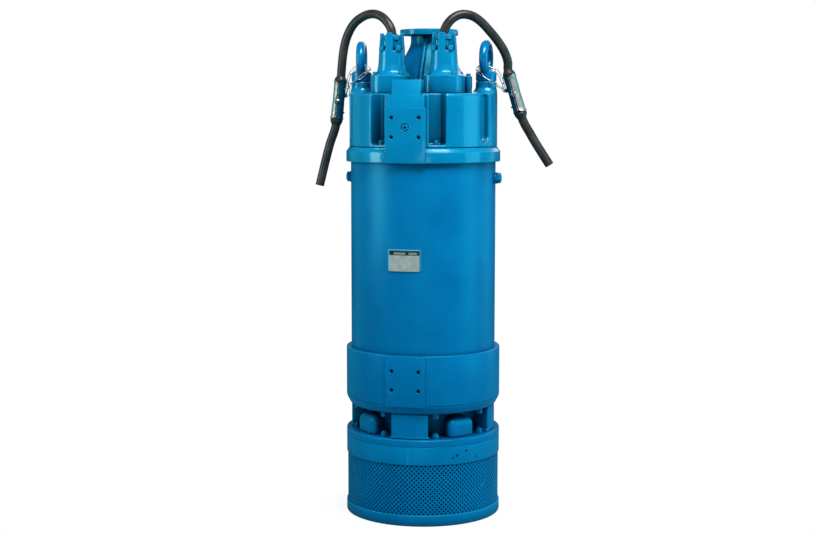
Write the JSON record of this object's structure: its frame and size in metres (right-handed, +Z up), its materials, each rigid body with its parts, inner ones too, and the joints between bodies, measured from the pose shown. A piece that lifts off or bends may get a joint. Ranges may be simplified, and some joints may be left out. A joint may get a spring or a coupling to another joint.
{
  "type": "two-stage submersible drainage pump",
  "caption": "Tall cylindrical submersible pump on a perforated strainer, with a top discharge flange, lifting eyes, cable glands and clamped power cables.",
  "frame": {"origin": "on the floor, at the middle of the round base plate", "axes": "+Z up along the pump's axis, -Y towards the side with the mounting pads and the nameplate, +X through the right lifting eye"},
  "size_m": [0.9898, 0.627, 2.0359],
  "materials": {
    "enamel": "glossy blue enamel with a light orange peel, thicker and rougher on the castings",
    "silver": "bright zinc-plated pressing with soft scratches",
    "zinc": "zinc-plated links and bolts, slightly dulled",
    "rubber": "satin black rubber cable sheath",
    "plate": "thin satin plate with a dark band and plain ruled lines"
  },
  "bodies": {
    "root": {"base_plate": "enamel", "strainer_screen": "enamel", "strainer_band": "enamel", "suction_bell": "enamel", "suction_flange": "enamel", "pump_casing": "enamel", "casing_flange": "enamel", "lower_collar": "enamel", "lower_pad": "enamel", "motor_jacket": "enamel", "nameplate": "plate", "side_plug_left": "enamel", "side_plug_right": "enamel", "head_ring": "enamel", "head_casting": "enamel", "upper_pad": "enamel", "pad_plug": "enamel", "gland_base_left": "enamel", "gland_base_right": "enamel", "gland_tower_left": "enamel", "gland_tower_right": "enamel", "discharge_casing": "enamel", "discharge_flange": "enamel", "eye_boss_left": "enamel", "eye_boss_right": "enamel", "lifting_eye_left": "enamel", "lifting_eye_right": "enamel", "oil_plug": "enamel", "cable_left": "rubber", "cable_right": "rubber", "clamp_sleeve_left": "rubber", "clamp_sleeve_right": "rubber", "clamp_outer_left": "silver", "clamp_outer_right": "silver", "clamp_inner_left": "enamel", "clamp_inner_right": "enamel", "clamp_bolt_front_left": "zinc", "clamp_bolt_back_left": "zinc", "clamp_bolt_front_right": "zinc", "clamp_bolt_back_right": "zinc", "chain_left": "zinc", "chain_right": "zinc"}
  },
  "joints": []
}
